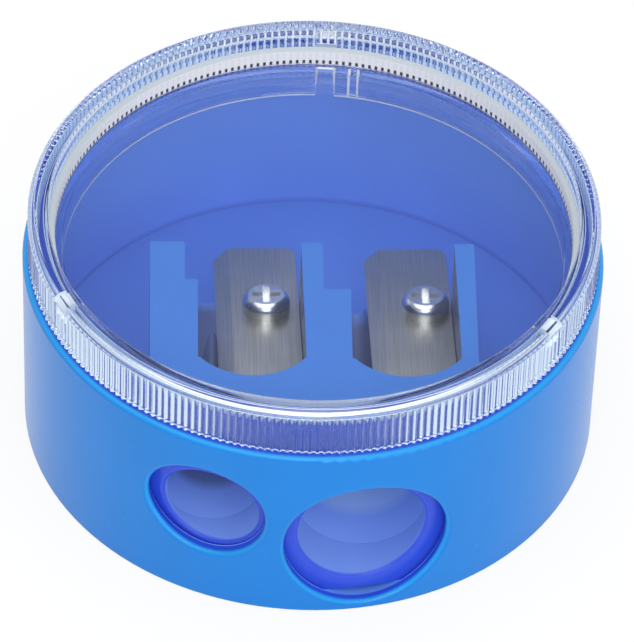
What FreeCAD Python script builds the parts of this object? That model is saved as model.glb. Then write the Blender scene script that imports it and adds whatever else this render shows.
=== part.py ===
import FreeCAD
import Part
import Sketcher
import math
import os
import re

# Two-hole container pencil sharpener: a round tub with a moulded insert that carries two guide bores,
# two cones and two screwed blades, closed by a clear lid with a ribbed rim.
# Frame: origin at the middle of the tub's foot, +Z up, the pencil holes face -Y. Millimetres and degrees.

SIZES = [
    # tub
    ("tub_radius", 28.0, "outer radius at the shoulder"),
    ("tub_draft", 0.2, "how much narrower the foot is"),
    ("tub_wall", 1.35, "wall thickness at the shoulder's height"),
    ("tub_floor", 1.6, "floor thickness"),
    ("shoulder_height", 20.9, "height of the step that the lid sits on"),
    ("shoulder_width", 1.6, "width of that step"),
    ("shoulder_thickness", 1.0, "thickness of the wall under that step"),
    ("neck_height", 2.7, "height of the thin neck above the shoulder"),
    ("neck_wall", 0.75, "thickness of the neck"),
    ("foot_round", 0.3, "rounding of the foot"),
    ("shoulder_round", 0.5, "rounding of the shoulder's outer edge"),
    ("lip_round", 0.45, "rounding of the wall openings"),
    ("small_opening_x", -10.15, "middle of the small wall opening"),
    ("small_opening_sill", 6.16, "height of its lowest point"),
    ("small_opening_radius", 5.49, "its radius"),
    ("large_opening_x", 4.83, "middle of the large wall opening"),
    ("large_opening_sill", 0.88, "height of its lowest point"),
    ("large_opening_radius", 7.73, "its radius"),
    ("opening_margin", 1.0, "reach of the opening cut past the wall"),
    ("peg_spacing", 26.8, "distance between the two floor pegs"),
    ("peg_y", -9.0, "place of the floor pegs"),
    ("peg_radius", 1.5, "radius of a floor peg"),
    ("peg_height", 3.0, "height of a floor peg"),
    # insert
    ("block_clearance", 0.25, "gap between insert and tub wall"),
    ("block_width", 31.4, "width of the insert"),
    ("deck_height", 18.0, "height of the insert's top face"),
    ("bank_end_y", 3.7, "back end of the raised banks"),
    ("guide_length", 0.58, "least length of a guide bore between its mouth and its cone"),
    ("cone_angle", 11.5, "half angle of the cones"),
    ("small_guide_x", -9.6, "axis of the small guide"),
    ("small_guide_z", 10.85, "its height"),
    ("small_guide_radius", 4.4, "its radius"),
    ("small_edge_offset", 0.4, "cutting edge, sideways from the small axis"),
    ("small_slot_width", 1.9, "shavings slot beside the small blade"),
    ("small_step_width", 1.25, "extra width of that slot behind its step"),
    ("small_step_y", -1.5, "place of that step"),
    ("large_guide_x", 4.5, "axis of the large guide"),
    ("large_guide_z", 9.2, "its height"),
    ("large_guide_radius", 6.05, "its radius"),
    ("large_edge_offset", 1.15, "cutting edge, sideways from the large axis"),
    ("large_slot_width", 2.0, "shavings slot beside the large blade"),
    ("large_step_width", 2.6, "extra width of that slot behind its step"),
    ("large_step_y", -2.7, "place of that step"),
    ("pocket_corner_y", -12.1, "where a blade pocket's sides meet its round front"),
    ("pocket_nose", 2.45, "how far a blade pocket's round front bulges"),
    ("mouth_round", 0.4, "rounding of the guide mouths"),
    ("edge_overhang", 0.6, "how far a cutting edge stands out over its seat"),
    ("socket_clearance", 0.1, "gap around a floor peg"),
    ("push_travel", 1.2, "how far the insert is pushed forward over the pegs, under the shoulder"),
    # blades and screws
    ("blade_length", 24.0, "length of a blade along its cutting edge"),
    ("blade_width", 8.1, "width of a blade"),
    ("blade_thickness", 0.55, "thickness of a blade"),
    ("blade_y", 0.8, "middle of the blades"),
    ("blade_skew", 1.2, "how far the blades are turned about the vertical"),
    ("blade_bite", 0.4, "how far the blade plane lies below a cone's top line"),
    ("blade_clearance", 0.1, "gap between a blade and its pocket"),
    ("bevel_width", 1.5, "ground bevel along the cutting edge"),
    ("edge_land", 0.08, "thickness left at the cutting edge"),
    ("long_corner", 1.5, "corner cut at the back of the cutting edge"),
    ("short_corner", 0.7, "corner cut at the back of the other edge"),
    ("small_screw_across", 4.9, "small blade's screw axis, from the cutting edge"),
    ("large_screw_across", 5.55, "large blade's screw axis, from the cutting edge"),
    ("screw_along", 0.95, "screw axes, from the blades' middle"),
    ("head_radius", 2.35, "radius of a screw head"),
    ("head_height", 1.75, "height of a screw head"),
    ("head_side", 0.75, "height of the head's straight side"),
    ("head_crown", 1.75, "radius of the head's flat top"),
    ("recess_length", 2.7, "length of the cross recess's arms, end to end"),
    ("recess_width", 0.7, "width of the cross recess's arms"),
    ("recess_depth", 1.0, "depth of the cross recess"),
    ("shank_radius", 1.2, "radius of a screw shank"),
    ("shank_length", 5.2, "length of a screw shank below the blade's top"),
    ("shank_clearance", 0.1, "gap around the screw shank"),
    # lid
    ("lid_seat_gap", 0.15, "gap between lid and shoulder"),
    ("skirt_wall", 0.45, "thickness of the skirt under its ribs"),
    ("lid_height", 5.45, "from the skirt's lower edge to the rim's top"),
    ("lid_wall", 1.2, "thickness of rim and disc"),
    ("lid_clearance", 0.25, "gap between lid and neck"),
    ("lid_recess", 2.4, "depth of the disc below the rim"),
    ("recess_wall", 0.5, "wall between recess and rim channel"),
    ("rim_bevel", 0.45, "bevel of the rim's outer edge"),
    ("rib_depth", 0.3, "height of a rib"),
    ("rib_root", 0.2, "overlap of the rib ring with the skirt"),
    ("rib_count", 240, "ribs round the skirt"),
    ("plug_gap", 0.65, "gap between plug skirt and neck"),
    ("plug_wall", 0.8, "thickness of the plug skirt"),
    ("plug_length", 4.5, "plug skirt below the disc"),
    ("plug_slot", 1.7, "width of a slot in the plug skirt"),
    ("plug_slots", 3, "slots round the plug skirt"),
    ("lug_width", 2.0, "width of a lug in the rim channel"),
    ("lug_clearance", 0.4, "gap between a lug and the neck's top"),
    ("detent_offset", 2.8, "place of a detent rib, sideways from its slot"),
    ("detent_width", 0.9, "width of a detent rib"),
    ("detent_height", 0.35, "how far a detent rib stands out of the plug skirt"),
    ("lid_turn", -3.5, "angle to which the lid is turned"),
    ("joint_overlap", 0.1, "how far joined features reach into each other"),
]

doc = FreeCAD.newDocument("container_sharpener")
sheet = doc.addObject("Spreadsheet::Sheet", "Sizes")
for row, (alias, amount, note) in enumerate(SIZES, start=1):
    sheet.set(f"A{row}", alias)
    sheet.set(f"B{row}", str(amount))
    sheet.setAlias(f"B{row}", alias)
    sheet.set(f"C{row}", note)
doc.recompute()
ALIASES = {alias for alias, amount, note in SIZES}

# Places and sizes that follow from the driving ones
TUB_BORE = "(tub_radius - tub_wall)"
NECK_RADIUS = "(tub_radius - shoulder_width)"
NECK_BORE = f"({NECK_RADIUS} - neck_wall)"
THROAT_TOP = "(shoulder_height - shoulder_thickness)"
THROAT_BOTTOM = f"({THROAT_TOP} - {TUB_BORE} + {NECK_BORE})"
NECK_TOP = "(shoulder_height + neck_height)"
BLOCK_RADIUS = f"({TUB_BORE} - block_clearance)"
GUIDE_REACH = "max(abs(small_guide_x) + small_guide_radius; abs(large_guide_x) + large_guide_radius)"
GUIDE_END = f"(guide_length - sqrt({BLOCK_RADIUS} ^ 2 - {GUIDE_REACH} ^ 2))"
DECK_RISE = "(deck_height - tub_floor)"
SKIRT_BOTTOM = "(shoulder_height + lid_seat_gap)"
RIM_TOP = f"({SKIRT_BOTTOM} + lid_height)"
RIM_UNDER = f"({RIM_TOP} - lid_wall)"
SKIRT_INNER = f"({NECK_RADIUS} + lid_clearance)"
SKIRT_OUTER = f"({SKIRT_INNER} + skirt_wall)"
RIB_FOOT = f"({SKIRT_OUTER} + joint_overlap)"
RIB_TIP = f"({RIB_FOOT} + rib_depth)"
CHANNEL_INNER = f"({NECK_BORE} - lid_clearance)"
RECESS_RADIUS = f"({CHANNEL_INNER} - recess_wall)"
DISC_TOP = f"({RIM_TOP} - lid_recess)"
DISC_UNDER = f"({DISC_TOP} - lid_wall)"
PLUG_OUTER = f"({NECK_BORE} - plug_gap)"
PLUG_INNER = f"({PLUG_OUTER} - plug_wall)"
PLUG_BOTTOM = f"({DISC_UNDER} - plug_length)"
LUG_BOTTOM = f"({NECK_TOP} + lug_clearance)"
POCKET_SIDE = "(blade_width + blade_clearance)"
SIDES = ("small", "large")


def bound(text):
    """The expression with the sheet's name put before each of its aliases."""
    def named(match):
        word = match.group()
        return f"Sizes.{word}" if word in ALIASES else word
    return re.sub(r"[a-z][a-z_]*", named, text)


def number(text):
    """The present value of an expression."""
    return float(sheet.evalExpression(text))


def bind(item, **expressions):
    """Bind properties of an object to expressions, with __ for the dot of a nested property."""
    for key, text in expressions.items():
        item.setExpression(key.replace("__", "."), bound(text))


def edge_x(side):
    return f"({side}_guide_x + {side}_edge_offset)"


def seat_z(side):
    """Height of a blade's seat at the blades' middle."""
    drop = f"({GUIDE_END} - blade_y) * tan(cone_angle)"
    return f"({side}_guide_z + {side}_guide_radius - blade_bite + {drop})"


def seat_frame(side):
    """Placement with its origin on the seat under the cutting edge's middle, tilted with the seat."""
    turn = "rotationz(blade_skew) * rotationx(-cone_angle)"
    return f"placement(vector({edge_x(side)}; blade_y; {seat_z(side)}); {turn})"


def plan_frame(side, height="0"):
    """Placement below the seat's origin, turned with the blade but level."""
    return f"placement(vector({edge_x(side)}; blade_y; {height}); rotationz(blade_skew))"


# Sketch helpers
def new_sketch(body, name, role, offset=None):
    plane = next(item for item in body.Origin.OriginFeatures if item.Role == role)
    sketch = body.newObject("Sketcher::SketchObject", name)
    sketch.AttachmentSupport = [(plane, "")]
    sketch.MapMode = "FlatFace"
    if offset:
        sketch.setExpression("AttachmentOffset.Base.z", bound(offset))
    return sketch


def pin_point(sketch, curve, point, x, y):
    """Tie a point of a curve to its two coordinates."""
    for kind, text, axis in (("DistanceX", x, -2), ("DistanceY", y, -1)):
        if text == "0":
            sketch.addConstraint(Sketcher.Constraint("PointOnObject", curve, point, axis))
        else:
            tie = sketch.addConstraint(Sketcher.Constraint(kind, -1, 1, curve, point, number(text)))
            sketch.setExpression(f"Constraints[{tie}]", bound(text))


def arc_between(start, end, radius):
    """The shorter arc that runs counterclockwise from start to end."""
    middle = (start + end) * 0.5
    chord = end - start
    left = FreeCAD.Vector(-chord.y, chord.x, 0).normalize()
    centre = middle + left * math.sqrt(radius ** 2 - (chord.Length / 2) ** 2)
    first = math.atan2(start.y - centre.y, start.x - centre.x)
    last = math.atan2(end.y - centre.y, end.x - centre.x)
    return Part.ArcOfCircle(Part.Circle(centre, FreeCAD.Vector(0, 0, 1), radius), first, last)


def tie_radius(sketch, curve, radius):
    tie = sketch.addConstraint(Sketcher.Constraint("Radius", curve, number(radius)))
    sketch.setExpression(f"Constraints[{tie}]", bound(radius))


def outline(sketch, points):
    """A closed outline through points given as expressions; a third entry is an arc's radius."""
    corners = [FreeCAD.Vector(number(point[0]), number(point[1]), 0) for point in points]
    followers = corners[1:] + corners[:1]
    for (x, y, *arc), corner, following in zip(points, corners, followers):
        if arc:
            sketch.addGeometry(arc_between(corner, following, number(arc[0])), False)
        else:
            sketch.addGeometry(Part.LineSegment(corner, following), False)
    for index in range(len(corners)):
        sketch.addConstraint(Sketcher.Constraint("Coincident", index, 2, (index + 1) % len(corners), 1))
    for index, (x, y, *arc) in enumerate(points):
        pin_point(sketch, index, 1, x, y)
        if arc:
            tie_radius(sketch, index, arc[0])


def rectangle(sketch, left, right, bottom, top):
    outline(sketch, [(left, bottom), (right, bottom), (right, top), (left, top)])


def circle(sketch, x, y, radius):
    centre = FreeCAD.Vector(number(x), number(y), 0)
    curve = sketch.addGeometry(Part.Circle(centre, FreeCAD.Vector(0, 0, 1), number(radius)), False)
    pin_point(sketch, curve, 3, x, y)
    tie_radius(sketch, curve, radius)


# Feature helpers
def new_body(name, label):
    body = doc.addObject("PartDesign::Body", name)
    body.Label = label
    return body


def revolve(body, sketch):
    feature = body.newObject("PartDesign::Revolution", f"{sketch.Name}Turned")
    feature.Profile = sketch
    feature.ReferenceAxis = (sketch, ["V_Axis"])
    feature.Angle = 360.0
    doc.recompute()
    return feature


def pad(body, sketch, length, both_sides=False):
    feature = body.newObject("PartDesign::Pad", f"{sketch.Name}Pad")
    feature.Profile = sketch
    bind(feature, Length=length)
    if both_sides:
        feature.SideType = "Symmetric"
    doc.recompute()
    return feature


def pocket(body, sketch, length=None, both_sides=False, reverse=False):
    """Cut a sketch out of a body and make sure that the cut took something away."""
    before = body.Shape.Volume
    feature = body.newObject("PartDesign::Pocket", f"{sketch.Name}Cut")
    feature.Profile = sketch
    if length is None:
        feature.Type = "ThroughAll"
    else:
        bind(feature, Length=length)
    if both_sides:
        feature.SideType = "Symmetric"
    feature.Reversed = reverse
    doc.recompute()
    if not body.Shape.Volume < before:
        raise RuntimeError(f"{feature.Name} cut nothing")
    return feature


def round_edges(body, feature, name, radius, chosen):
    """Fillet those edges of a feature for which chosen(edge) is true."""
    names = [f"Edge{index}" for index, edge in enumerate(feature.Shape.Edges, start=1) if chosen(edge)]
    if not names:
        raise RuntimeError(f"{name} found no edge")
    rounding = body.newObject("PartDesign::Fillet", name)
    rounding.Base = (feature, names)
    bind(rounding, Radius=radius)
    doc.recompute()
    return rounding


def ring_at(radius, height, slack=0.01):
    """A test for a level circle about the Z axis."""
    def chosen(edge):
        limits = edge.BoundBox
        same_height = abs(limits.ZMin - height) < slack and abs(limits.ZMax - height) < slack
        return same_height and abs(limits.XMax - radius) < slack and abs(limits.XMin + radius) < slack
    return chosen


# Tub
def make_tub():
    body = new_body("Tub", "tub")
    section = new_sketch(body, "TubSection", "XZ_Plane")
    outline(section, [
        ("0", "0"),
        ("tub_radius - tub_draft", "0"),
        ("tub_radius", "shoulder_height"),
        (NECK_RADIUS, "shoulder_height"),
        (NECK_RADIUS, NECK_TOP),
        (NECK_BORE, NECK_TOP),
        (NECK_BORE, THROAT_TOP),
        (TUB_BORE, THROAT_BOTTOM),
        (TUB_BORE, "tub_floor"),
        ("0", "tub_floor"),
    ])
    shell = revolve(body, section)
    foot = round_edges(body, shell, "FootRound", "foot_round", ring_at(number("tub_radius - tub_draft"), 0.0))
    shoulder_edge = ring_at(number("tub_radius"), number("shoulder_height"))
    round_edges(body, foot, "ShoulderRound", "shoulder_round", shoulder_edge)

    widest = "max(abs(small_opening_x) + small_opening_radius; abs(large_opening_x) + large_opening_radius)"
    start = f"(sqrt({TUB_BORE} ^ 2 - {widest} ^ 2) - opening_margin)"
    openings = new_sketch(body, "WallOpenings", "XZ_Plane", start)
    for side in SIDES:
        height = f"{side}_opening_sill + {side}_opening_radius"
        circle(openings, f"{side}_opening_x", height, f"{side}_opening_radius")
    cut = pocket(body, openings, reverse=True)

    outside = number("tub_radius - tub_draft - tub_wall / 2")
    least_rise = number("min(small_opening_radius; large_opening_radius)")

    def is_lip(edge):
        reach = [math.hypot(point.x, point.y) for point in edge.discretize(9)]
        in_front = edge.BoundBox.YMax < 0
        return in_front and min(reach) > outside and edge.BoundBox.ZLength > least_rise

    round_edges(body, cut, "LipRound", "lip_round", is_lip)

    pegs = new_sketch(body, "FloorPegs", "XY_Plane", "tub_floor - joint_overlap")
    circle(pegs, "-peg_spacing / 2", "peg_y", "peg_radius")
    circle(pegs, "peg_spacing / 2", "peg_y", "peg_radius")
    pad(body, pegs, "peg_height + joint_overlap")
    return body


# Insert
def box(name, x, y, z, length, width, height):
    item = doc.addObject("Part::Box", name)
    bind(item, Length=length, Width=width, Height=height)
    bind(item, Placement__Base__x=x, Placement__Base__y=y, Placement__Base__z=z)
    return item


def boolean(kind, name, base, tool):
    item = doc.addObject(f"Part::{kind}", name)
    item.Base = base
    item.Tool = tool
    return item


def lying(item, x, y, z):
    """Lay a cylinder or cone along +Y from a point."""
    bind(item, Placement=f"placement(vector({x}; {y}; {z}); rotationx(-90))")
    return item


def make_guide(side):
    """The space of a guide bore and its cone."""
    bore = doc.addObject("Part::Cylinder", f"{side.title()}Bore")
    bind(bore, Radius=f"{side}_guide_radius", Height=f"{BLOCK_RADIUS} + {GUIDE_END} + joint_overlap")
    lying(bore, f"{side}_guide_x", f"-{BLOCK_RADIUS}", f"{side}_guide_z")
    cone = doc.addObject("Part::Cone", f"{side.title()}Cone")
    bind(cone, Radius1=f"{side}_guide_radius", Height=f"{side}_guide_radius / tan(cone_angle)")
    cone.Radius2 = 0.0
    lying(cone, f"{side}_guide_x", GUIDE_END, f"{side}_guide_z")
    return boolean("Fuse", f"{side.title()}Guide", bore, cone)


def make_pocket(side):
    """The space above a blade's seat: a round-fronted prism, kept above the seat plane."""
    name = side.title()
    left = f"-{side}_slot_width"
    front = "pocket_corner_y - blade_y"
    shape = doc.addObject("Sketcher::SketchObject", f"{name}PocketOutline")
    half = f"(({side}_slot_width + {POCKET_SIDE}) / 2)"
    nose_radius = f"({half} ^ 2 + pocket_nose ^ 2) / (2 * pocket_nose)"
    outline(shape, [
        (left, front, nose_radius),
        (POCKET_SIDE, front),
        (POCKET_SIDE, BLOCK_RADIUS),
        (left, BLOCK_RADIUS),
    ])
    bind(shape, Placement=plan_frame(side))
    prism = doc.addObject("Part::Extrusion", f"{name}PocketPrism")
    prism.Base = shape
    prism.DirMode = "Normal"
    prism.Solid = True
    bind(prism, LengthFwd="2 * deck_height")
    above = doc.addObject("Part::Box", f"{name}AboveSeat")
    bind(above, Length="4 * tub_radius", Width="4 * tub_radius", Height="2 * tub_radius")
    shift = "placement(vector(-2 * tub_radius; -2 * tub_radius; 0); rotationz(0))"
    bind(above, Placement=f"{seat_frame(side)} * {shift}")
    return boolean("Common", f"{name}Pocket", prism, above)


def make_slot(side):
    """The shavings slot beside a blade, down to the cone's axis, and its wider part behind the step."""
    name = side.title()
    rise = f"deck_height - {side}_guide_z + joint_overlap"
    reach = f"{edge_x(side)} + edge_overhang"
    front = box(f"{name}Slot", f"{edge_x(side)} - {side}_slot_width", "pocket_corner_y", f"{side}_guide_z",
                f"{side}_slot_width + edge_overhang", "bank_end_y - pocket_corner_y + joint_overlap", rise)
    left = f"({edge_x(side)} - {side}_slot_width - {side}_step_width)"
    wide = box(f"{name}SlotStep", left, f"{side}_step_y", f"{side}_guide_z",
               f"{reach} - {left}", f"bank_end_y - {side}_step_y + joint_overlap", rise)
    return boolean("Fuse", f"{name}ShavingsSlot", front, wide)


def make_tongue(side):
    """The seat that carries a blade behind the banks."""
    front = "(bank_end_y - blade_y - edge_overhang)"
    back = "(blade_length / 2 * cos(cone_angle) - edge_overhang)"
    tongue = doc.addObject("Part::Box", f"{side.title()}Tongue")
    bind(tongue, Length=f"{POCKET_SIDE} - edge_overhang", Width=f"{back} - {front}", Height=DECK_RISE)
    local = f"placement(vector(edge_overhang; {front}; 0); rotationz(0))"
    bind(tongue, Placement=f"{plan_frame(side, 'tub_floor')} * {local}")
    return tongue


def screw_frame(side):
    """Placement with its origin under the screw head, on the blade's top."""
    local = f"placement(vector({side}_screw_across; screw_along; blade_thickness); rotationz(0))"
    return f"{seat_frame(side)} * {local}"


def make_screw_hole(side):
    hole = doc.addObject("Part::Cylinder", f"{side.title()}ScrewHole")
    bind(hole, Radius="shank_radius + shank_clearance", Height="shank_length + shank_clearance")
    down = "placement(vector(0; 0; -shank_length - shank_clearance); rotationz(0))"
    bind(hole, Placement=f"{screw_frame(side)} * {down}")
    return hole


def make_socket(name, x):
    """The slot in the insert's underside that lets it slide forward over a floor peg."""
    half = "(peg_radius + socket_clearance)"
    return box(name, f"{x} - {half}", f"peg_y - {half} - push_travel", "tub_floor",
               f"2 * {half}", f"2 * {half} + push_travel", "peg_height + socket_clearance")


def round_mouths(solid):
    """Round the edges where the guide bores meet the insert's curved front."""
    front = number(BLOCK_RADIUS)
    slack = 0.01
    radius = number("mouth_round")

    def is_mouth(edge):
        reach = [math.hypot(point.x, point.y) for point in edge.discretize(9)]
        rise = [point.z for point in edge.discretize(9)]
        on_front = max(abs(value - front) for value in reach) < slack
        return on_front and max(rise) - min(rise) > radius and edge.Curve.TypeId != "Part::GeomLine"

    doc.recompute()
    chosen = [index for index, edge in enumerate(solid.Shape.Edges, start=1) if is_mouth(edge)]
    if len(chosen) < len(SIDES):
        raise RuntimeError("a guide mouth has no edge to round")
    rounding = doc.addObject("Part::Fillet", "RoundMouths")
    rounding.Base = solid
    rounding.Edges = [(index, radius, radius) for index in chosen]
    return rounding


def make_block():
    blank = box("BlockBlank", "-block_width / 2", f"-{BLOCK_RADIUS}", "tub_floor",
                "block_width", f"{BLOCK_RADIUS} + bank_end_y", DECK_RISE)
    room = doc.addObject("Part::Cylinder", "BlockRoom")
    bind(room, Radius=BLOCK_RADIUS, Height=DECK_RISE, Placement__Base__z="tub_floor")
    solid = boolean("Common", "BlockFront", blank, room)
    for side in SIDES:
        solid = boolean("Fuse", f"BlockWith{side.title()}Tongue", solid, make_tongue(side))
    tools = [make(side) for side in SIDES for make in (make_pocket, make_slot, make_guide, make_screw_hole)]
    tools.append(make_socket("LeftSocket", "-peg_spacing / 2"))
    tools.append(make_socket("RightSocket", "peg_spacing / 2"))
    for tool in tools:
        solid = boolean("Cut", f"BlockWithout{tool.Name}", solid, tool)
    solid = round_mouths(solid)
    solid.Label = "sharpener_block"
    return solid


# Blades and screws
def make_blade(side):
    body = new_body(f"{side.title()}Blade", f"{side}_blade")
    section = new_sketch(body, f"{side.title()}BladeSection", "XZ_Plane")
    outline(section, [
        ("0", "0"),
        ("blade_width", "0"),
        ("blade_width", "blade_thickness"),
        ("bevel_width", "blade_thickness"),
        ("0", "edge_land"),
    ])
    pad(body, section, "blade_length", both_sides=True)
    hole = new_sketch(body, f"{side.title()}BladeHole", "XY_Plane")
    circle(hole, f"{side}_screw_across", "screw_along", "shank_radius + shank_clearance")
    pocket(body, hole, reverse=True)
    corners = new_sketch(body, f"{side.title()}BladeCorners", "XY_Plane")
    back = "blade_length / 2"
    outline(corners, [
        ("-joint_overlap", f"{back} - long_corner - joint_overlap"),
        ("long_corner + joint_overlap", f"{back} + joint_overlap"),
        ("-joint_overlap", f"{back} + joint_overlap"),
    ])
    pocket(body, corners, reverse=True)
    short = new_sketch(body, f"{side.title()}BladeShortCorner", "XY_Plane")
    outline(short, [
        ("blade_width + joint_overlap", f"{back} - short_corner - joint_overlap"),
        ("blade_width + joint_overlap", f"{back} + joint_overlap"),
        ("blade_width - short_corner - joint_overlap", f"{back} + joint_overlap"),
    ])
    pocket(body, short, reverse=True)
    bind(body, Placement=seat_frame(side))
    return body


def make_screw(side):
    body = new_body(f"{side.title()}Screw", f"{side}_blade_screw")
    section = new_sketch(body, f"{side.title()}ScrewSection", "XZ_Plane")
    outline(section, [
        ("0", "-shank_length"),
        ("shank_radius / 2", "-shank_length"),
        ("shank_radius", "-shank_length + shank_radius"),
        ("shank_radius", "0"),
        ("head_radius", "0"),
        ("head_radius", "head_side", "head_height - head_side + joint_overlap"),
        ("head_crown", "head_height"),
        ("0", "head_height"),
    ])
    revolve(body, section)
    recess = new_sketch(body, f"{side.title()}ScrewRecess", "XY_Plane", "head_height")
    arm = "recess_length / 2"
    half = "recess_width / 2"
    outline(recess, [
        (arm, f"-{half}"), (arm, half), (half, half), (half, arm), (f"-{half}", arm), (f"-{half}", half),
        (f"-{arm}", half), (f"-{arm}", f"-{half}"), (f"-{half}", f"-{half}"), (f"-{half}", f"-{arm}"),
        (half, f"-{arm}"), (half, f"-{half}"),
    ])
    pocket(body, recess, "recess_depth")
    bind(body, Placement=screw_frame(side))
    return body


# Lid
def make_lid_core():
    body = new_body("LidCore", "lid_core")
    section = new_sketch(body, "LidSection", "XZ_Plane")
    outline(section, [
        ("0", DISC_UNDER),
        (PLUG_INNER, DISC_UNDER),
        (PLUG_INNER, PLUG_BOTTOM),
        (PLUG_OUTER, PLUG_BOTTOM),
        (PLUG_OUTER, DISC_UNDER),
        (CHANNEL_INNER, DISC_UNDER),
        (CHANNEL_INNER, RIM_UNDER),
        (SKIRT_INNER, RIM_UNDER),
        (SKIRT_INNER, SKIRT_BOTTOM),
        (SKIRT_OUTER, SKIRT_BOTTOM),
        (SKIRT_OUTER, f"{RIM_TOP} - rim_bevel"),
        (f"{SKIRT_OUTER} - rim_bevel", RIM_TOP),
        (RECESS_RADIUS, RIM_TOP),
        (RECESS_RADIUS, DISC_TOP),
        ("0", DISC_TOP),
    ])
    revolve(body, section)
    slot = new_sketch(body, "PlugSlot", "YZ_Plane")
    rectangle(slot, f"{PLUG_INNER} - joint_overlap", f"{PLUG_OUTER} + joint_overlap",
              f"{PLUG_BOTTOM} - joint_overlap", DISC_UNDER)
    slot_cut = pocket(body, slot, "plug_slot", both_sides=True)
    lug = new_sketch(body, "ChannelLug", "YZ_Plane")
    rectangle(lug, f"{CHANNEL_INNER} - joint_overlap", f"{SKIRT_INNER} + joint_overlap",
              LUG_BOTTOM, f"{RIM_UNDER} + joint_overlap")
    lug_pad = pad(body, lug, "lug_width", both_sides=True)
    detent = new_sketch(body, "DetentRib", "YZ_Plane", "detent_offset - detent_width / 2")
    rectangle(detent, f"{PLUG_INNER} + joint_overlap", f"{PLUG_OUTER} + detent_height",
              PLUG_BOTTOM, f"{DISC_UNDER} + joint_overlap")
    detent_pad = pad(body, detent, "detent_width")
    ring = body.newObject("PartDesign::PolarPattern", "LidFeatures")
    ring.Originals = [slot_cut, lug_pad, detent_pad]
    ring.Axis = (section, ["V_Axis"])
    ring.Angle = 360.0
    bind(ring, Occurrences="plug_slots")
    body.Tip = ring
    bind(body, Placement="placement(vector(0; 0; 0); rotationz(lid_turn))")
    doc.recompute()
    return body


def make_ribs():
    """The ring of pointed ribs round the skirt, as one looped outline drawn up along the skirt."""
    count = round(number("rib_count"))
    tip = number(RIB_TIP)
    foot = number(RIB_FOOT)
    corners = []
    for index in range(2 * count):
        angle = math.pi * index / count
        radius = tip if index % 2 else foot
        corners.append(FreeCAD.Vector(radius * math.cos(angle), radius * math.sin(angle), 0))
    outer = Part.makePolygon(corners + corners[:1])
    root = Part.Circle(FreeCAD.Vector(), FreeCAD.Vector(0, 0, 1), number(f"{SKIRT_OUTER} - rib_root"))
    inner = Part.Wire(root.toShape())
    ring = Part.Face(outer).cut(Part.Face(inner))
    item = doc.addObject("Part::Feature", "RibRing")
    item.Shape = ring.extrude(FreeCAD.Vector(0, 0, number("lid_height - rim_bevel")))
    item.Placement = FreeCAD.Placement(FreeCAD.Vector(0, 0, number(SKIRT_BOTTOM)), FreeCAD.Rotation())
    return item


def make_lid():
    lid = boolean("Fuse", "Lid", make_lid_core(), make_ribs())
    lid.Label = "lid"
    return lid


def check(items):
    """Stop if an object of the document failed, or a sub-part is empty, broken or not one solid."""
    for item in doc.Objects:
        if "Invalid" in item.State or "Error" in item.State:
            raise RuntimeError(f"{item.Name} failed: {item.State}")
    for item in items:
        shape = item.Shape
        if shape.isNull() or not shape.isValid():
            raise RuntimeError(f"{item.Label} has no valid shape")
        if len(shape.Solids) != 1:
            raise RuntimeError(f"{item.Label} is {len(shape.Solids)} solids")


def main():
    items = [make_tub(), make_block()]
    for side in SIDES:
        items.append(make_blade(side))
        items.append(make_screw(side))
    items.append(make_lid())
    doc.recompute()
    check(items)
    os.makedirs("parts", exist_ok=True)
    for item in items:
        item.Shape.exportStep(f"parts/{item.Label}.step")
        print(f"{item.Label}: {item.Shape.Volume:.1f} mm3, box {item.Shape.BoundBox}")


main()
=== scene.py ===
# %% [markdown]
# A round pencil sharpener with two holes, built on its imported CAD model. The CAD solids give the shapes and
# places, in metres, and this lesson gives them their finishes, a finer clear lid, the light and the camera.

# %% Load the frame
import math

import bmesh
import bpy
from mathutils import Matrix, Vector


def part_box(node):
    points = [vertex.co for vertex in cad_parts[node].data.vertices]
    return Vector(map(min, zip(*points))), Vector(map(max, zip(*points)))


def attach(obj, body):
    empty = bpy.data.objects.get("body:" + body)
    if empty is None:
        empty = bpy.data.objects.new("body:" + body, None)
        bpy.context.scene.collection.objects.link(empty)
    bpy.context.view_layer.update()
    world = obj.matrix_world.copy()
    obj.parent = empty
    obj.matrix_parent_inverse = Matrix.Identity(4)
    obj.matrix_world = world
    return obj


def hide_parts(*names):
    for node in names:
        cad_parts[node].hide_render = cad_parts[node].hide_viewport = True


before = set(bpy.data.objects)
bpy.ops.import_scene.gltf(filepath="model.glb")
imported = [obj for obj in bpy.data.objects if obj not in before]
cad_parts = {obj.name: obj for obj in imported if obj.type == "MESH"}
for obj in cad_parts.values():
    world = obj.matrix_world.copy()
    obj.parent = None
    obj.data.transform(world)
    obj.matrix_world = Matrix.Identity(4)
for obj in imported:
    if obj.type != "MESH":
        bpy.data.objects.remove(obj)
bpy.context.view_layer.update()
scene = bpy.context.scene
scene.view_settings.view_transform = "Standard"
MM = 0.001

# %% [markdown]
# The camera comes first, because everything else is judged through it. The photograph is a product shot from
# far away with a long lens: the ellipses of the tub's foot and of the lid have nearly the same proportions.
# Their proportions give the height of the camera, 45 degrees, and the axis of the holes gives its small turn
# and roll. The camera looks at a point a little above the tub's middle, so that the picture is centred.

# %% Place the camera
IMAGE_HEIGHT = 642
FOCAL_PIXELS = 7166
SENSOR = 36.0
CAMERA_RISE = math.radians(44.66)
CAMERA_TURN = math.radians(2.3)
CAMERA_ROLL = math.radians(2.13)
CAMERA_DISTANCE = 699.7 * MM
AIM_HEIGHT = 7 * MM
PICTURE_SHIFT = Vector((0.6 * MM, 3.26 * MM, 0))

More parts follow.
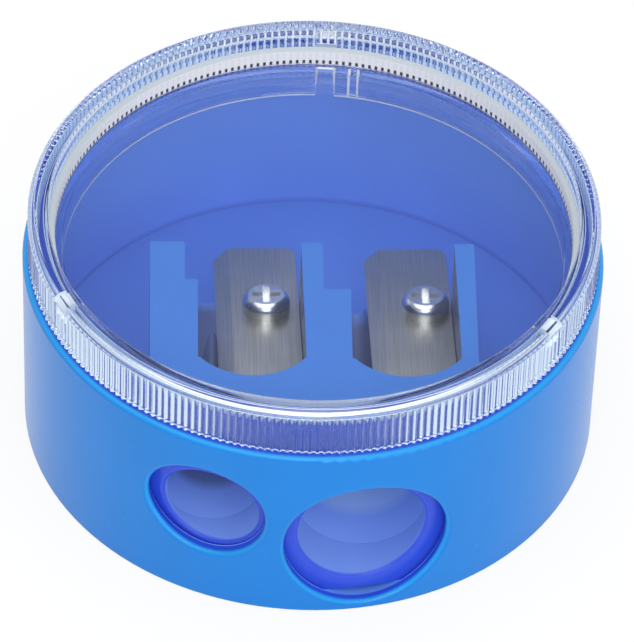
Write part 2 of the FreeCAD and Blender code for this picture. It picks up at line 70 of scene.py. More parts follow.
toward_camera = Vector((
    -math.sin(CAMERA_TURN) * math.cos(CAMERA_RISE),
    -math.cos(CAMERA_TURN) * math.cos(CAMERA_RISE),
    math.sin(CAMERA_RISE),
))
facing = toward_camera.to_track_quat("Z", "Y").to_matrix()
aim = Vector((0, 0, AIM_HEIGHT)) + facing @ PICTURE_SHIFT
camera_data = bpy.data.cameras.new("product_camera")
camera_data.sensor_fit = "VERTICAL"
camera_data.sensor_height = SENSOR
camera_data.lens = FOCAL_PIXELS * SENSOR / IMAGE_HEIGHT
camera_data.clip_start = 10 * MM
camera_data.clip_end = 20
camera = bpy.data.objects.new("product_camera", camera_data)
turned = facing @ Matrix.Rotation(CAMERA_ROLL, 3, "Z")
camera.matrix_world = Matrix.Translation(aim + toward_camera * CAMERA_DISTANCE) @ turned.to_4x4()
scene.collection.objects.link(camera)
scene.camera = camera
print("lens", round(camera_data.lens, 1), "mm at", round(CAMERA_DISTANCE, 3), "m")

# %% [markdown]
# Colours are written as the hex values that a colour picker shows. Shaders work with linear light, so one
# function turns the one into the other. A second small function adds a node with its settings: a plain value
# goes into the socket, and another node's output is linked to it. A third starts a material.

# %% Small helpers for colours and materials
def srgb(hex_colour):
    channels = [int(hex_colour[i:i + 2], 16) / 255 for i in (1, 3, 5)]
    linear = [c / 12.92 if c <= 0.04045 else ((c + 0.055) / 1.055) ** 2.4 for c in channels]
    return (*linear, 1.0)


def add_node(tree, kind, inputs=None, **settings):
    made = tree.nodes.new(kind)
    for name, value in settings.items():
        setattr(made, name, value)
    for socket, value in (inputs or {}).items():
        if isinstance(value, bpy.types.NodeSocket):
            tree.links.new(value, made.inputs[socket])
        else:
            made.inputs[socket].default_value = value
    return made


def start_material(name):
    material = bpy.data.materials.new(name)
    material.use_nodes = True
    return material, material.node_tree, material.node_tree.nodes["Principled BSDF"]


print("middle grey is", round(srgb("#808080")[0], 3), "in linear light")

# %% [markdown]
# The tub and the insert are injection-moulded ABS, coloured through and with a semi-gloss skin from a
# polished steel mould. To the eye that is an even blue with a soft broad highlight, faint clouds where the
# melt flowed, about 9 mm across, and a skin that is never quite flat. The skin's ripple is finer than the
# picture shows, so it is drawn 0.5 mm wide. One function makes the finish of both mouldings, because they
# come from the same plastic, and each brings its own paint for the colour.

# %% Blue ABS, moulded semi-gloss
FLOW_CLOUD = 9
SKIN_RIPPLE = 0.5


def per_mm(size):
    return 1 / (size * MM)


def moulded_blue(name, paint):
    material, tree, shader = start_material(name)
    place = add_node(tree, "ShaderNodeTexCoord").outputs["Object"]
    flow = add_node(tree, "ShaderNodeTexNoise", {
        "Vector": place,
        "Scale": per_mm(FLOW_CLOUD),
        "Detail": 3.0,
    })
    cloud = add_node(tree, "ShaderNodeMapRange", {
        "Value": flow.outputs["Fac"],
        "To Min": 0.94,
        "To Max": 1.06,
    })
    tint = add_node(tree, "ShaderNodeHueSaturation", {
        "Color": paint(tree, place),
        "Value": cloud.outputs["Result"],
    })
    skin = add_node(tree, "ShaderNodeTexNoise", {
        "Vector": place,
        "Scale": per_mm(SKIN_RIPPLE),
        "Detail": 2.0,
    })
    sheen = add_node(tree, "ShaderNodeMapRange", {
        "Value": skin.outputs["Fac"],
        "To Min": 0.2,
        "To Max": 0.3,
    })
    ripple = add_node(tree, "ShaderNodeBump", {
        "Height": skin.outputs["Fac"],
        "Strength": 0.04,
        "Distance": 0.02 * MM,
    })
    tree.links.new(tint.outputs["Color"], shader.inputs["Base Color"])
    tree.links.new(sheen.outputs["Result"], shader.inputs["Roughness"])
    tree.links.new(ripple.outputs["Normal"], shader.inputs["Normal"])
    shader.inputs["IOR"].default_value = 1.53
    shader.inputs["Specular IOR Level"].default_value = 0.24
    return material


print("flow clouds of", FLOW_CLOUD, "mm and a skin ripple of", SKIN_RIPPLE, "mm")

# %% [markdown]
# ABS lets a little light in. Where it lies open to the room it looks a light, greenish blue, and in a
# sheltered place, where light only comes back from more blue plastic, a violet blue. These blues are
# painted light and shade, painted into the colour by place as painted highlights and painted shade. Each face
# could have a material of its own, but the blues run softly into each other. So they are laid over one
# another
# as coats: a coat begins at one place, in millimetres, and is full at another.

# %% Coats of colour, with painted light and shade, that go by place
def radius_and_height(tree, place):
    flat = add_node(tree, "ShaderNodeVectorMath", {0: place, 1: (1, 1, 0)}, operation="MULTIPLY")
    radius = add_node(tree, "ShaderNodeVectorMath", {0: flat.outputs["Vector"]}, operation="LENGTH")
    height = add_node(tree, "ShaderNodeSeparateXYZ", {"Vector": place})
    return radius.outputs["Value"], height.outputs["Z"]


def lay_coats(tree, colour, coats):
    for value, start, full, coat in coats:
        cover = add_node(tree, "ShaderNodeMapRange", {
            "Value": value,
            "From Min": start * MM,
            "From Max": full * MM,
        })
        laid = add_node(tree, "ShaderNodeMix", {
            "Factor": cover.outputs["Result"],
            "A": colour,
            "B": coat,
        }, data_type="RGBA")
        colour = laid.outputs["Result"]
    return colour


def dress(material, *nodes):
    for name in nodes:
        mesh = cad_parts[name].data
        mesh.materials.clear()
        mesh.materials.append(material)
    print(material.name, "on", ", ".join(nodes))


print("pieces to dress:", ", ".join(sorted(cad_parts)))

# %% [markdown]
# On the tub the blues go by the depth below its outside, which widens a little from the foot to the shoulder.
# The wall is the open blue. The rounded lips of the holes are painted paler, a painted highlight, because
# they catch light from two sides, and the thickness of the wall behind them is painted deep blue, as painted
# shade. Inside there is the neck under the lid's rim, painted dark as painted shade, then the wall, painted
# lighter with painted bounce light, and the floor, painted with the shade that the insert casts.

# %% Dress the tub
SHOULDER = 20.9
FOOT_RADIUS = 27.8
SHOULDER_RADIUS = 28.0
WALL_INSIDE = 26.7
FLOOR = 1.7
OPEN_BLUE = srgb("#0a7cd2")
# Painted highlight: the paler blue of the holes' rounded lips.
LIP_HIGHLIGHT_BLUE = srgb("#2298e0")
# Painted shade: the deep blue of the wall's thickness behind the lips, and of the insert's front.
DEEP_SHADE_BLUE = srgb("#3050d2")
# Painted shade: the dark blue of the neck under the lid's rim.
NECK_SHADE_BLUE = srgb("#2444b0")
# Painted bounce light: the lighter, violet blue of the tub's inside wall.
INSIDE_BOUNCE_LIGHT_BLUE = srgb("#76a8fa")
# Painted shade: the blue of the tub's floor, shaded by the insert, and of the insert's rear.
FLOOR_SHADE_BLUE = srgb("#5c8ce2")


def tub_paint(tree, place):
    radius, height = radius_and_height(tree, place)
    outside = add_node(tree, "ShaderNodeMapRange", {
        "Value": height,
        "From Max": SHOULDER * MM,
        "To Min": FOOT_RADIUS * MM,
        "To Max": SHOULDER_RADIUS * MM,
    })
    depth = add_node(tree, "ShaderNodeMath", {
        0: outside.outputs["Result"],
        1: radius,
    }, operation="SUBTRACT").outputs["Value"]
    wall = lay_coats(tree, OPEN_BLUE, [(depth, 0.04, 0.2, LIP_HIGHLIGHT_BLUE), (depth, 0.4, 0.65, DEEP_SHADE_BLUE)])
    within = lay_coats(tree, NECK_SHADE_BLUE, [
        (height, SHOULDER, SHOULDER - 0.4, INSIDE_BOUNCE_LIGHT_BLUE),
        (height, FLOOR + 0.7, FLOOR, FLOOR_SHADE_BLUE),
    ])
    return lay_coats(tree, wall, [(radius, WALL_INSIDE + 0.1, WALL_INSIDE, within)])


dress(moulded_blue("abs_blue_tub", tub_paint), "tub")

# %% [markdown]
# The insert is the moulding with the pencil guides. Its deck under the lid lies open. Below the deck its
# blues are painted light and shade. The guides are painted lighter, as lit through the holes, and the cones
# are painted darker from the mouths towards the pits under the blades, as painted shade. The large cone is
# painted lighter than the small one, because it gets more light. The rear is painted with the same shade as
# the tub's floor. The front, close behind the tub's wall, is painted in the deep blue of painted shade.

# %% Dress the insert
DECK = round(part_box("sharpener_block")[1][2] / MM, 2)
INSERT_FRONT = 26.2
GUIDE_END = -17.6
PIT_START = -10
REAR_START = 4
DECK_BLUE = srgb("#4484dc")
# Painted light: the lighter blue of the guides, lit through the holes.
GUIDE_LIT_BLUE = srgb("#80a2ec")
# Painted shade and painted light: the small cone is painted darker, the large cone lighter.
SMALL_CONE_SHADE_BLUE = srgb("#687cb0")
LARGE_CONE_LIT_BLUE = srgb("#9cbcee")
# Painted shade: the dark grey-blue of the cones' pits under the blades.
PIT_SHADE_BLUE = srgb("#4c5f98")


def insert_paint(tree, place):
    radius, height = radius_and_height(tree, place)
    along = add_node(tree, "ShaderNodeSeparateXYZ", {"Vector": place})
    right = along.outputs["X"]
    back = along.outputs["Y"]
    cones = lay_coats(tree, SMALL_CONE_SHADE_BLUE, [
        (right, -4, 0, LARGE_CONE_LIT_BLUE),
        (back, PIT_START - 3, PIT_START, PIT_SHADE_BLUE),
    ])
    below = lay_coats(tree, GUIDE_LIT_BLUE, [
        (back, GUIDE_END - 1.2, GUIDE_END, cones),
        (back, REAR_START - 2, REAR_START, FLOOR_SHADE_BLUE),
    ])
    front = lay_coats(tree, DECK_BLUE, [(height, DECK - 0.1, DECK - 0.5, DEEP_SHADE_BLUE)])
    return lay_coats(tree, DECK_BLUE, [
        (height, DECK - 0.1, DECK - 1.5, below),
        (radius, INSERT_FRONT - 0.3, INSERT_FRONT, front),
    ])


dress(moulded_blue("abs_blue_insert", insert_paint), "sharpener_block")

# %% [markdown]
# A sharpener blade is hardened carbon steel, ground flat by a wheel that runs along it. The wheel leaves fine
# scratches along the length, so a highlight spreads across the blade and not along it. Noise that is
# stretched along the blade gives the scratches, in the colour, the roughness and the bump. The real ones are
# about 0.02 mm wide, too fine for this picture, so they are drawn 0.12 mm wide and 9 mm long.

# %% Blade steel, ground along its length
SCRATCH_WIDTH = 0.12
SCRATCH_LENGTH = 9
STEEL_CLOUD = 5
steel, tree, shader = start_material("carbon_steel_ground")
place = add_node(tree, "ShaderNodeTexCoord").outputs["Object"]
stretched = add_node(tree, "ShaderNodeMapping", {
    "Vector": place,
    "Scale": (per_mm(SCRATCH_WIDTH), per_mm(SCRATCH_LENGTH), per_mm(SCRATCH_LENGTH)),
})
scratch = add_node(tree, "ShaderNodeTexNoise", {
    "Vector": stretched.outputs["Vector"],
    "Scale": 1.0,
    "Detail": 3.0,
}).outputs["Fac"]
cloud = add_node(tree, "ShaderNodeTexNoise", {"Vector": place, "Scale": per_mm(STEEL_CLOUD), "Detail": 2.0})
bare = add_node(tree, "ShaderNodeMix", {
    "Factor": cloud.outputs["Fac"],
    "A": srgb("#b2ada2"),
    "B": srgb("#cec9bd"),
}, data_type="RGBA")
line = add_node(tree, "ShaderNodeMapRange", {
    "Value": scratch,
    "From Min": 0.4,
    "From Max": 0.65,
    "To Max": 0.35,
})
ground = add_node(tree, "ShaderNodeMix", {
    "Factor": line.outputs["Result"],
    "A": bare.outputs["Result"],
    "B": srgb("#8a8780"),
}, data_type="RGBA")
gloss = add_node(tree, "ShaderNodeMapRange", {"Value": scratch, "To Min": 0.26, "To Max": 0.46})
groove = add_node(tree, "ShaderNodeBump", {"Height": scratch, "Strength": 0.6, "Distance": 0.02 * MM})
tree.links.new(ground.outputs["Result"], shader.inputs["Base Color"])
tree.links.new(gloss.outputs["Result"], shader.inputs["Roughness"])
tree.links.new(groove.outputs["Normal"], shader.inputs["Normal"])
shader.inputs["Metallic"].default_value = 1.0
dress(steel, "small_blade", "large_blade")

# %% [markdown]
# The blade screws are steel with a bright nickel plating. The plating is thin and follows the steel under it,
# which was tumbled with others in a drum. So the screws mirror their surroundings a little unevenly, in dents
# of about 0.7 mm. One noise drives the colour, the roughness and the dents, because they have one cause.

# %% Nickel plating on the screws
TUMBLE_DENT = 0.7
nickel, tree, shader = start_material("nickel_plated_steel_tumbled")
place = add_node(tree, "ShaderNodeTexCoord").outputs["Object"]
tumble = add_node(tree, "ShaderNodeTexNoise", {
    "Vector": place,
    "Scale": per_mm(TUMBLE_DENT),
    "Detail": 3.0,
}).outputs["Fac"]
gloss = add_node(tree, "ShaderNodeMapRange", {"Value": tumble, "To Min": 0.16, "To Max": 0.32})
plating = add_node(tree, "ShaderNodeMix", {
    "Factor": tumble,
    "A": srgb("#d3d5d6"),
    "B": srgb("#e6e6e4"),
}, data_type="RGBA")
dent = add_node(tree, "ShaderNodeBump", {"Height": tumble, "Strength": 0.2, "Distance": 0.02 * MM})
tree.links.new(plating.outputs["Result"], shader.inputs["Base Color"])
tree.links.new(gloss.outputs["Result"], shader.inputs["Roughness"])
tree.links.new(dent.outputs["Normal"], shader.inputs["Normal"])
shader.inputs["Metallic"].default_value = 1.0
dress(nickel, "small_blade_screw", "large_blade_screw")

# %% [markdown]
# The CAD lid has sharp corners and pointed ribs. A moulded lid has neither: steel moulds are cut with round
# tools, and each rounded corner draws a bright line in clear plastic. A bevel on the CAD mesh would trip over
# its many small faces, so the lid is made again here as a turned section, in the same place and size. The
# section is written in millimetres from the middle of the disc's top, out over the rim, down the ribs, up the
# channel that takes the tub's neck, and back along the plug skirt. The third number rounds the corner.

# %% Draw the lid's section
lid_low, lid_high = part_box("lid")
PLUG_END = round(lid_low[2] / MM, 2)
RIM_TOP = round(lid_high[2] / MM, 2)
RIB_TIP = round(lid_high[0] / MM, 1)
RIB_DEPTH = 0.3
RIB_TOP = 25.55
RIB_END = 21.05
RIM_BEVEL = 0.6
DISC_TOP = 22.6
DISC_UNDER = 21.5
RECESS_RADIUS = 24.9
LEDGE = 24.2
LEDGE_BACK = 24.35
RIM_INNER = 25.5
CHANNEL_OUTER = 26.65
CHANNEL_INNER = 25.95
CHANNEL_ROOF = 25.3
SLOPE_TOP = 24.6
SLOPE_END = 24.1
COLLAR = 25.4
PLUG_OUTER = 25.0
PLUG_INNER = 24.2
FROST_STRIP = 0.24
FROST_INNER = 24.72


def round_corners(corners):
    points = [corners[0][:2]]
    for before, corner, after in zip(corners, corners[1:], corners[2:]):
        radius = corner[2]
        here = Vector(corner[:2])
        back = Vector(before[:2]) - here
        ahead = Vector(after[:2]) - here
        reach = min(radius, 0.45 * back.length, 0.45 * ahead.length)
        steps = 1 + (radius >= 0.08) + (radius >= 0.11)
        start = here + back.normalized() * reach
        end = here + ahead.normalized() * reach
        for step in range(steps + 1):
            t = step / steps
            points.append(tuple(start * (1 - t) ** 2 + here * (2 * t * (1 - t)) + end * t ** 2))
    return points + [corners[-1][:2]]


def lid_section(rib=1.0, plug_end=PLUG_END, plug_outer=PLUG_OUTER, roof=CHANNEL_ROOF):
    outer = RIB_TIP - RIB_DEPTH * (1 - rib)
    return round_corners([
        (0, DISC_TOP),
        (RECESS_RADIUS, DISC_TOP, 0.12),
        (RECESS_RADIUS, LEDGE, 0.12),
        (RIM_INNER, LEDGE_BACK, 0.1),
        (RIM_INNER, RIM_TOP, 0.18),
        (RIB_TIP - RIM_BEVEL, RIM_TOP, 0.12),
        (RIB_TIP, RIM_TOP - RIM_BEVEL, 0.06),
        (RIB_TIP, RIB_TOP + 0.15, 0.05),
        (outer, RIB_TOP, 0.1),
        (outer, RIB_END, 0.18),
        (CHANNEL_OUTER, RIB_END, 0.12),
        (CHANNEL_OUTER, roof, 0.15),
        (CHANNEL_INNER, roof, 0.15),
        (CHANNEL_INNER, SLOPE_TOP, 0.1),
        (COLLAR, SLOPE_END, 0.1),
        (COLLAR, DISC_UNDER, 0.03),
        (plug_outer, DISC_UNDER, 0.03),
        (plug_outer, plug_end, 0.03),
        (FROST_INNER, plug_end, 0.01),
        (PLUG_INNER, plug_end, 0.03),
        (PLUG_INNER, min(plug_end + FROST_STRIP, DISC_UNDER - 0.02), 0.01),
        (PLUG_INNER, DISC_UNDER, 0.03),
        (0, DISC_UNDER),
    ])


print(len(lid_section()), "points in the section")

# %% [markdown]
# The section changes on the way round the axis. The ribs rise and fall 240 times. At three places the plug
# skirt has a slot, with a small detent rib beside it, and the channel has a lug that locks over the neck.
# Each is given by its middle and half its width, as angles. A slot's and a detent's sides lean, over a width
# of 0.24 mm, so that the mould's core can leave, and a lug's sides are steep.

# %% Say how the section changes round the axis
RIBS = 240
LOCK_ANGLES = [math.radians(angle) for angle in (86.5, 206.5, 326.5)]
SLOT = (0.0, 0.85 / 24.6)
DETENT = (-2.8 / 25.0, 0.45 / 25.0)
LUG = (0.0, 1.0 / 26.0)
LEAN = 0.12 / 24.6
STEEP = 1e-4
SLOT_TOP = 21.45
DETENT_HEIGHT = 0.2
LUG_UNDER = 24.0


def past_edge(angle, feature):
    middle, half = feature
    turns = [(angle - lock - middle + math.pi) % (2 * math.pi) - math.pi for lock in LOCK_ANGLES]
    return min(abs(turn) for turn in turns) - half


def share_within(angle, feature):
    return min(max(0.5 - past_edge(angle, feature) / (2 * LEAN), 0), 1)


def lid_column(angle):
    return lid_section(
        rib=(0.5 + 0.5 * math.cos(angle * RIBS)) ** 1.5,
        plug_end=PLUG_END + (SLOT_TOP - PLUG_END) * share_within(angle, SLOT),
        plug_outer=PLUG_OUTER + DETENT_HEIGHT * share_within(angle, DETENT),
        roof=LUG_UNDER if past_edge(angle, LUG) < 0 else CHANNEL_ROOF,
    )


print("a rib every", round(2 * math.pi * RIB_TIP / RIBS, 2), "mm")

# %% [markdown]
# Turning the section gives the lid. The screw modifier could turn one section, but not one that changes, so
# the columns of points are worked out one by one. There are six to a rib, and two more at each edge of a
# slot, a detent or a lug. The points on the axis fall together and are merged.

# %% Turn the section into a mesh
COLUMNS = RIBS * 6
angles = [2 * math.pi * i / COLUMNS for i in range(COLUMNS)]
for lock in LOCK_ANGLES:
    for (middle, half), reach in ((SLOT, LEAN), (LUG, STEEP), (DETENT, LEAN)):
        for side in (-half, half):
            edge = (lock + middle + side) % (2 * math.pi)
            angles += [edge - reach, edge + reach]
angles.sort()
columns = [lid_column(angle) for angle in angles]
per_column = len(columns[0])
points = [
    (r * MM * math.cos(angle), r * MM * math.sin(angle), z * MM)
    for angle, column in zip(angles, columns) for r, z in column
]
faces = []
for i in range(len(angles)):
    this = i * per_column
    following = (i + 1) % len(angles) * per_column
    for j in range(per_column - 1):
        faces.append((this + j, this + j + 1, following + j + 1, following + j))
lid_mesh = bpy.data.meshes.new("clear_lid")
lid_mesh.from_pydata(points, [], faces)
work = bmesh.new()
work.from_mesh(lid_mesh)
bmesh.ops.remove_doubles(work, verts=work.verts, dist=1e-7)
bmesh.ops.recalc_face_normals(work, faces=work.faces)
work.to_mesh(lid_mesh)
work.free()
print("lid of", len(lid_mesh.polygons), "faces")

# %% [markdown]
# The lid is clear polystyrene, which bends light more than window glass, so that its ribs and edges flash
# white and dark. Its faces are polished by the mould, with a faint swell of about 7 mm that the cooling
# leaves, and handling has dulled it here and there. Noise in the bump and the roughness gives both.

# %% Clear polystyrene, polished in the mould
COOLING_SWELL = 7
HANDLED_PATCH = 2
POLYSTYRENE_IOR = 1.59
clear, tree, shader = start_material("polystyrene_clear_polished")
place = add_node(tree, "ShaderNodeTexCoord").outputs["Object"]
wave = add_node(tree, "ShaderNodeTexNoise", {
    "Vector": place,
    "Scale": per_mm(COOLING_SWELL),
    "Detail": 1.0,
})
swell = add_node(tree, "ShaderNodeBump", {
    "Height": wave.outputs["Fac"],
    "Strength": 0.15,
    "Distance": 0.05 * MM,
})
handled = add_node(tree, "ShaderNodeTexNoise", {
    "Vector": place,
    "Scale": per_mm(HANDLED_PATCH),
    "Detail": 4.0,
})
haze = add_node(tree, "ShaderNodeMapRange", {
    "Value": handled.outputs["Fac"],
    "To Min": 0.0,
    "To Max": 0.05,
})
tree.links.new(swell.outputs["Normal"], shader.inputs["Normal"])
shader.inputs["IOR"].default_value = POLYSTYRENE_IOR
print("made", clear.name)

# %% [markdown]
# The step round the sunken disc shows as a grey-white band, with a fine line for each rib outside, and not
# as clear plastic: inside the plastic it mirrors the white surroundings, seen through the ribs. What light
# does there is slow to render and hard to steer, so the band is a painted reflection in the material: four
# soft edges, in radius and in height, multiply to a mask, and within it the plastic is white and not clear.
# From inside the plastic the step is as clear as the rest, so the back of its faces is taken off the mask.

# %% Find the band of painted reflection
radius, height = radius_and_height(tree, place)
band = 1.0
for value, start, full in (
    (radius, RIM_INNER - 0.02, RIM_INNER - 0.08),
    (radius, RECESS_RADIUS - 0.2, RECESS_RADIUS - 0.1),
    (height, LEDGE_BACK + 0.1, LEDGE_BACK + 0.01),
    (height, DISC_TOP + 0.02, DISC_TOP + 0.1),
):
    edge = add_node(tree, "ShaderNodeMapRange", {
        "Value": value,
        "From Min": start * MM,
        "From Max": full * MM,
    })
    band = add_node(tree, "ShaderNodeMath", {
        0: band,
        1: edge.outputs["Result"],
    }, operation="MULTIPLY").outputs["Value"]
inner_side = add_node(tree, "ShaderNodeNewGeometry").outputs["Backfacing"]
band = add_node(tree, "ShaderNodeMath", {
    0: band,
    1: inner_side,
}, operation="SUBTRACT", use_clamp=True).outputs["Value"]
clear_outside_band = add_node(tree, "ShaderNodeMapRange", {"Value": band, "To Min": 1.0, "To Max": 0.0})
dull = add_node(tree, "ShaderNodeMath", {0: band, 1: 0.4}, operation="MULTIPLY")
gloss = add_node(tree, "ShaderNodeMath", {
    0: haze.outputs["Result"],
    1: dull.outputs["Value"],
}, operation="ADD")
tree.links.new(clear_outside_band.outputs["Result"], shader.inputs["Transmission Weight"])
tree.links.new(gloss.outputs["Value"], shader.inputs["Roughness"])
print("band from", DISC_TOP, "to", LEDGE_BACK, "mm high")

# %% [markdown]
# The painted reflection has a faint grey line on white for each rib, with a dark dot at its foot where it
# ends at the disc. The cosine of the angle round the axis, times the number of ribs, goes up and down once
# for each. The ledge above the band faces the light and would glare in the same white, so it is painted a
# darker grey, as painted shade. The thick rim is painted the faint blue of the tub, as painted light that
# the plastic carries up from the tub.

# %% Paint the band's reflection, the ledge's shade and the rim's blue
DOT_HEIGHT = 0.5
SOFT = 0.05
across = add_node(tree, "ShaderNodeSeparateXYZ", {"Vector": place})
turn = add_node(tree, "ShaderNodeMath", {
    0: across.outputs["Y"],
    1: across.outputs["X"],
}, operation="ARCTAN2")
painted_rib_lines = add_node(tree, "ShaderNodeMath", {0: turn.outputs["Value"], 1: RIBS}, operation="MULTIPLY")
rib_line_wave = add_node(tree, "ShaderNodeMath", {0: painted_rib_lines.outputs["Value"]}, operation="COSINE").outputs["Value"]
lined = add_node(tree, "ShaderNodeMapRange", {
    "Value": rib_line_wave,
    "From Min": -1.0,
    "To Min": 0.0,
    "To Max": 0.35,
})
# Painted reflection: white with a grey line for each rib.
painted_reflection = add_node(tree, "ShaderNodeMix", {
    "Factor": lined.outputs["Result"],
    "A": srgb("#ffffff"),
    "B": srgb("#dfe6ea"),
}, data_type="RGBA")
dot_width = add_node(tree, "ShaderNodeMapRange", {"Value": rib_line_wave, "From Min": 0.1, "From Max": 0.4})
dot_foot = add_node(tree, "ShaderNodeMapRange", {
    "Value": height,
    "From Min": (DISC_TOP + DOT_HEIGHT + SOFT) * MM,
    "From Max": (DISC_TOP + DOT_HEIGHT - SOFT) * MM,
})
dot = add_node(tree, "ShaderNodeMath", {
    0: dot_width.outputs["Result"],
    1: dot_foot.outputs["Result"],
}, operation="MULTIPLY")
# Painted shade: the darker grey of the ledge above the band.
dotted = add_node(tree, "ShaderNodeMix", {
    "Factor": dot.outputs["Value"],
    "A": lay_coats(tree, painted_reflection.outputs["Result"], [(height, LEDGE - 0.1, LEDGE, srgb("#b0bac2"))]),
    "B": srgb("#1c2838"),
}, data_type="RGBA")
# Painted light: the faint blue of the thick rim, carried up from the tub.
lid_colour = add_node(tree, "ShaderNodeMix", {
    "Factor": band,
    "A": lay_coats(tree, srgb("#f2f6fd"), [(radius, RIM_INNER + 0.1, RIM_INNER + 0.3, srgb("#d2e5fb"))]),
    "B": dotted.outputs["Result"],
}, data_type="RGBA")
tree.links.new(lid_colour.outputs["Result"], shader.inputs["Base Color"])
print(RIBS, "flutes in the band")

# %% [markdown]
# A path tracer finds a lamp through a clear lid only by luck, and that is noise. So for shadow rays, and for
# light on its way from a matt surface, the lid is a plain transparent sheet. What the camera sees stays real
# plastic that bends light. Light goes to and fro many times in the ribs, and where the renderer gives up too
# early black spots stay, so more bounces are allowed than usual.

# %% Let light through the lid
path = add_node(tree, "ShaderNodeLightPath")
passing = add_node(tree, "ShaderNodeMath", {
    0: path.outputs["Is Shadow Ray"],
    1: path.outputs["Is Diffuse Ray"],
}, operation="MAXIMUM")
sheet = add_node(tree, "ShaderNodeBsdfTransparent", {"Color": srgb("#f2f5f8")})
either = add_node(tree, "ShaderNodeMixShader", {
    "Fac": passing.outputs["Value"],
    1: shader.outputs["BSDF"],
    2: sheet.outputs["BSDF"],
})
tree.links.new(either.outputs["Shader"], tree.nodes["Material Output"].inputs["Surface"])
scene.cycles.max_bounces = 20
scene.cycles.glossy_bounces = 12
scene.cycles.transmission_bounces = 16
print("bounces:", scene.cycles.max_bounces)

# %% [markdown]
# Where the mould's small cores shut, round the slots, on the lugs and detents and along the skirt's lower
# edge, the plastic isn't polished. It has the fine frosted face that spark erosion leaves in steel. It is
# also painted white, opaque and not clear, as a painted reflection of the white surroundings that these
# faces mirror inside the plastic. The real pits are about 0.02 mm wide, and are drawn 0.25 mm wide so that
# they show.

# %% The same polystyrene, frosted by the mould's cores and painted white
SPARK_PIT = 0.25
frosted_painted_white, tree, shader = start_material("polystyrene_spark_eroded_painted_white")
place = add_node(tree, "ShaderNodeTexCoord").outputs["Object"]
spark = add_node(tree, "ShaderNodeTexNoise", {
    "Vector": place,
    "Scale": per_mm(SPARK_PIT),
    "Detail": 3.0,
}).outputs["Fac"]
pits = add_node(tree, "ShaderNodeBump", {"Height": spark, "Strength": 0.5, "Distance": 0.03 * MM})
rough = add_node(tree, "ShaderNodeMapRange", {"Value": spark, "To Min": 0.35, "To Max": 0.6})
tree.links.new(rough.outputs["Result"], shader.inputs["Roughness"])
tree.links.new(pits.outputs["Normal"], shader.inputs["Normal"])
shader.inputs["Base Color"].default_value = srgb("#f4f7fa")
shader.inputs["IOR"].default_value = POLYSTYRENE_IOR
print("made", frosted_painted_white.name)

# %% [markdown]
# The lid's mesh wears both finishes. Which face is frosted and painted white follows from where its middle
# lies: its angle, its radius and its height. That is simpler than keeping a list of faces while the mesh is
# made, and it stays right when a size changes.

# %% Frost and paint white the faces that the cores made
def is_frosted_painted_white(angle, r, z):
    on_skirt = PLUG_END + 0.05 < z < SLOT_TOP
    slot_side = abs(past_edge(angle, SLOT)) < LEAN and PLUG_INNER < r < PLUG_OUTER + 0.05 and z < SLOT_TOP
    at_slot_top = SLOT_TOP - 0.05 < z < SLOT_TOP + 0.04
    slot_top = past_edge(angle, SLOT) < 0 and FROST_INNER + 0.01 < r < PLUG_OUTER + 0.1 and at_slot_top
    detent_side = abs(past_edge(angle, DETENT)) < LEAN and r > PLUG_OUTER and on_skirt
    lower_edge = PLUG_INNER - 0.1 < r < PLUG_INNER + 0.02 and z < PLUG_END + FROST_STRIP
    in_channel = CHANNEL_INNER - 0.05 < r < CHANNEL_OUTER + 0.05
    lug = past_edge(angle, LUG) < STEEP and in_channel and LUG_UNDER - 0.1 < z < CHANNEL_ROOF + 0.05
    return slot_side or slot_top or detent_side or lower_edge or lug


lid_mesh.materials.append(clear)
lid_mesh.materials.append(frosted_painted_white)
for face in lid_mesh.polygons:
    middle = face.center
    angle = math.atan2(middle.y, middle.x)
    face.material_index = int(is_frosted_painted_white(angle, math.hypot(middle.x, middle.y) / MM, middle.z / MM))
print(sum(face.material_index for face in lid_mesh.polygons), "frosted faces")

# %% [markdown]
# Smooth shading alone would bend the normals of the flat disc near its corners, and the plastic would act as
# a lens there. The weighted normal modifier lets the large faces decide, so flat faces stay flat. The new lid
# then takes the place of the CAD lid and rides on its body.

# %% Put the lid in its place
lid_mesh.shade_smooth()
lid_mesh.set_sharp_from_angle(angle=math.radians(40))
lid = bpy.data.objects.new("clear_lid", lid_mesh)
scene.collection.objects.link(lid)
flat_faces = lid.modifiers.new("flat_faces_stay_flat", "WEIGHTED_NORMAL")
flat_faces.keep_sharp = True
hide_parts("lid")
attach(lid, "lid")
print(lid.name, "in place of the CAD lid")

# %% [markdown]
# The object stands on a plain pale floor in front of nothing. A white floor could be had by more light, but
# that would bleach the object. So the floor glows white only where it is seen, straight on, in a mirror or
# through clear plastic. To all other light it is a matt board, and it keeps a part of the shadow.

# %% Make the floor
FLOOR_SIZE = 6
FLOOR_GLOW = 0.85


def seen_directly(tree):
    path = add_node(tree, "ShaderNodeLightPath")
    seen = path.outputs["Is Camera Ray"]
    for ray in ("Is Glossy Ray", "Is Transmission Ray"):
        seen = add_node(tree, "ShaderNodeMath", {
            0: seen,
            1: path.outputs[ray],
        }, operation="MAXIMUM").outputs["Value"]
    return seen


bpy.ops.mesh.primitive_plane_add(size=FLOOR_SIZE, location=(0, 0, -0.02 * MM))
floor = bpy.context.object
floor.name = "studio_floor"
board, tree, shader = start_material("matt_white_board")
shader.inputs["Base Color"].default_value = srgb("#f4f4f4")
shader.inputs["Roughness"].default_value = 0.9
share = add_node(tree, "ShaderNodeMath", {0: seen_directly(tree), 1: FLOOR_GLOW}, operation="MULTIPLY")
glow = add_node(tree, "ShaderNodeEmission", {"Color": srgb("#ffffff"), "Strength": 1.0})
blend = add_node(tree, "ShaderNodeMixShader", {
    "Fac": share.outputs["Value"],
    1: shader.outputs["BSDF"],
    2: glow.outputs["Emission"],
})
tree.links.new(blend.outputs["Shader"], tree.nodes["Material Output"].inputs["Surface"])
floor.data.materials.append(board)
print("floor at", round(floor.location.z / MM, 2), "mm")

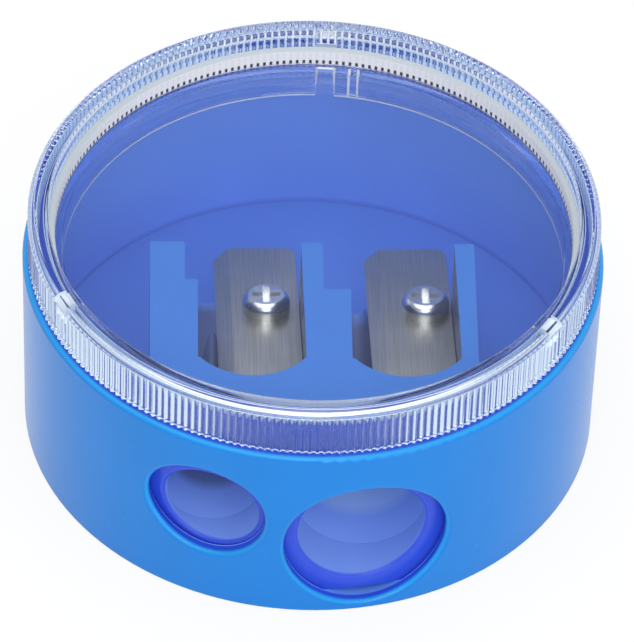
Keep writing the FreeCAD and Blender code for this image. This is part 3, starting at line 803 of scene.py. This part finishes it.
# %% [markdown]
# The light is that of a product tent, soft from everywhere. As light it has about half strength. Where it is
# seen or mirrored it is white near the horizon and overhead, and dim between, because there the lid's flat
# disc mirrors it and a white tent would veil the inside. The heights are the Z of a direction of length 1.

# %% Put up the tent
TENT_LIGHT = 0.55
TENT_DIM = 0.35
world = bpy.data.worlds.new("product_tent")
scene.world = world
world.use_nodes = True
tree = world.node_tree
direction = add_node(tree, "ShaderNodeTexCoord").outputs["Generated"]
height = add_node(tree, "ShaderNodeSeparateXYZ", {"Vector": direction}).outputs["Z"]
backdrop = add_node(tree, "ShaderNodeMapRange", {
    "Value": height,
    "From Min": 0.5,
    "From Max": 0.63,
    "To Min": 1.0,
    "To Max": TENT_DIM,
})
ceiling = add_node(tree, "ShaderNodeMapRange", {
    "Value": height,
    "From Min": 0.8,
    "From Max": 0.9,
    "To Min": 0.0,
    "To Max": 1 - TENT_DIM,
})
tent = add_node(tree, "ShaderNodeMath", {
    0: backdrop.outputs["Result"],
    1: ceiling.outputs["Result"],
}, operation="ADD")
strength = add_node(tree, "ShaderNodeMix", {
    "Factor": seen_directly(tree),
    "A": TENT_LIGHT,
    "B": tent.outputs["Value"],
})
tree.links.new(strength.outputs["Result"], tree.nodes["Background"].inputs["Strength"])
tree.nodes["Background"].inputs["Color"].default_value = srgb("#ffffff")
print("tent gives", TENT_LIGHT, "as light")

# %% [markdown]
# Three softboxes give the light a direction. The large one above lights the inside through the lid, the
# front one the holes and the wall, and the weak one on the right lifts that side. A lamp could stand
# anywhere, so each is written with its place and its size in metres and its watts, and all face the origin.

# %% Hang the lamps
SOFTBOXES = [
    ("top_softbox", (-0.05, 0.02, 0.75), 1.0, 3.3),
    ("front_softbox", (0.0, -0.53, 0.5), 0.45, 1.7),
    ("right_softbox", (0.4, -0.45, 0.3), 0.5, 0.7),
]
for name, spot, size, watts in SOFTBOXES:
    softbox = bpy.data.lights.new(name, "AREA")
    softbox.shape = "DISK"
    softbox.size = size
    softbox.energy = watts
    lamp = bpy.data.objects.new(name, softbox)
    lamp.location = spot
    lamp.rotation_euler = (Vector(spot) * -1).to_track_quat("-Z", "Y").to_euler()
    scene.collection.objects.link(lamp)
    print(name, watts, "W")
